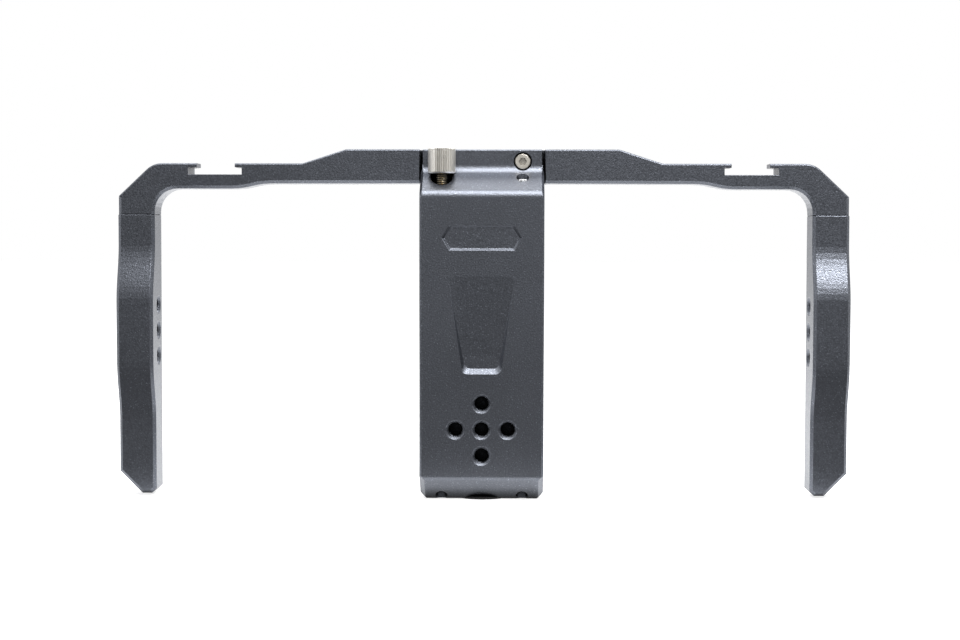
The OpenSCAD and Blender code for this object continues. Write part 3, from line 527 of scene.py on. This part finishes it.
def soft_box(name, at, size, power):
    """A white rectangular lamp that points at LAMPS_AT."""
    lamp = bpy.data.lights.new(name, "AREA")
    lamp.shape = "RECTANGLE"
    lamp.size, lamp.size_y = size
    lamp.energy = power
    made = bpy.data.objects.new(name, lamp)
    made.location = at
    made.rotation_euler = (Vector(LAMPS_AT) - Vector(at)).to_track_quat("-Z", "Y").to_euler()
    bpy.context.scene.collection.objects.link(made)


def seen_rays(mat):
    """1 for rays from the camera and for reflected or refracted ones, else 0."""
    path = node(mat, "LightPath")
    total = node(mat, "Math", {0: path.outputs["Is Camera Ray"], 1: path.outputs["Is Glossy Ray"]},
                 operation="MAXIMUM")
    return node(mat, "Math", {0: total.outputs[0], 1: path.outputs["Is Transmission Ray"]},
                operation="MAXIMUM").outputs[0]


def floor_reflection_shade(mat):
    """How much of the floor metal reflects: painted shade in front, seen only in reflections, as if a grey card lay
    there.
    """
    spot = node(mat, "SeparateXYZ", {0: node(mat, "TexCoord").outputs["Object"]}).outputs
    aside = node(mat, "Math", {0: spot["X"]}, operation="ABSOLUTE").outputs[0]
    ahead = node(mat, "Math", {0: aside, 1: CARD_TURN, 2: spot["Y"]}, operation="MULTIPLY_ADD").outputs[0]
    shown = node(mat, "MapRange", {"Value": ahead, "From Min": CARD_FROM, "From Max": CARD_TO, "To Min": FRONT_SIDES,
                                   "To Max": 1.0}, interpolation_type="SMOOTHSTEP").outputs["Result"]
    bounce = node(mat, "LightPath").outputs["Is Glossy Ray"]
    rest = node(mat, "Math", {0: 1.0, 1: bounce}, operation="SUBTRACT").outputs[0]
    return node(mat, "Math", {0: shown, 1: rest}, operation="MAXIMUM").outputs[0]


def make_floor():
    """A white floor that keeps the object's shadow, with painted shade in front that only reflections show."""
    half = FLOOR_HALF
    mesh = bpy.data.meshes.new("floor")
    mesh.from_pydata([(-half, -half, 0), (half, -half, 0), (half, half, 0), (-half, half, 0)], [], [(0, 1, 2, 3)])
    floor = bpy.data.objects.new("floor", mesh)
    floor.location.z = FLOOR_Z
    bpy.context.scene.collection.objects.link(floor)
    mat, shader = material("floor")
    # Painted shade on the floor in front, seen only in reflections
    reflection_shade = floor_reflection_shade(mat)
    link(mat, mixed(mat, reflection_shade, (0, 0, 0), FLOOR_GREY), shader.inputs["Base Color"])
    shader.inputs["Roughness"].default_value = 0.9
    shader.inputs["Specular IOR Level"].default_value = 0.0
    shader.inputs["Emission Color"].default_value = (1, 1, 1, 1)
    lift = node(mat, "Math", {0: seen_rays(mat), 1: FLOOR_LIFT}, operation="MULTIPLY")
    seen = node(mat, "Math", {0: lift.outputs[0], 1: reflection_shade}, operation="MULTIPLY")
    link(mat, seen.outputs[0], shader.inputs["Emission Strength"])
    mesh.materials.append(mat)


def front_shade(world):
    """How bright the room is: dimmer in front of the object, beside the camera. The camera itself sees white."""
    ray = node(world, "TexCoord")
    way = node(world, "SeparateXYZ", {0: ray.outputs["Generated"]}).outputs
    aside = node(world, "Math", {0: way["X"]}, operation="ABSOLUTE").outputs[0]
    front = node(world, "MapRange", {"Value": aside, "From Max": FRONT_ASIDE, "To Min": FRONT_MIDDLE,
                                     "To Max": FRONT_SIDES}, interpolation_type="SMOOTHSTEP").outputs["Result"]
    room = node(world, "MapRange", {"Value": way["Y"], "From Min": FRONT_FROM, "From Max": FRONT_TO, "To Min": front,
                                    "To Max": 1.0}, interpolation_type="SMOOTHSTEP").outputs["Result"]
    lit = node(world, "Math", {0: room, 1: node(world, "LightPath").outputs["Is Camera Ray"]}, operation="MAXIMUM")
    return lit.outputs[0]


def make_world():
    """A white room, weaker as a light than it looks."""
    world = bpy.data.worlds.new("world")
    bpy.context.scene.world = world
    world.use_nodes = True
    back = world.node_tree.nodes["Background"]
    back.inputs["Color"].default_value = (1, 1, 1, 1)
    strength = node(world, "MapRange", {"Value": seen_rays(world), "To Min": ROOM_LIGHT, "To Max": 1.0})
    shade = node(world, "Math", {0: strength.outputs["Result"], 1: front_shade(world)}, operation="MULTIPLY")
    link(world, shade.outputs[0], back.inputs["Strength"])


def make_lights():
    """The lamps of the list."""
    for lamp in LAMPS:
        soft_box(*lamp)


def make_camera():
    """The camera of the photograph, from the fit to it."""
    data = bpy.data.cameras.new("camera")
    data.sensor_width = SENSOR
    data.lens = SENSOR * CAM_FOCAL_PX / FRAME_W
    data.clip_start, data.clip_end = CLIP
    yaw, pitch, roll = (math.radians(a) for a in (CAM_YAW, CAM_PITCH, CAM_ROLL))
    ahead = Vector((-math.sin(yaw) * math.cos(pitch), math.cos(yaw) * math.cos(pitch), math.sin(pitch)))
    level = Vector((math.cos(yaw), math.sin(yaw), 0))
    upright = level.cross(ahead)
    right = math.cos(roll) * level + math.sin(roll) * upright
    up = math.cos(roll) * upright - math.sin(roll) * level
    turn = Matrix((right, up, -ahead)).transposed().to_4x4()
    camera = bpy.data.objects.new("camera", data)
    camera.matrix_world = Matrix.Translation(Vector(CAM_AT) * MM) @ turn
    bpy.context.scene.collection.objects.link(camera)
    bpy.context.scene.camera = camera


bpy.context.scene.view_settings.view_transform = "Standard"
make_camera()
make_world()
make_lights()
make_floor()
dress_nodes()
make_threads()
make_lead_screw()
make_jaw_pads()
make_rest_pads()
make_base_pad()
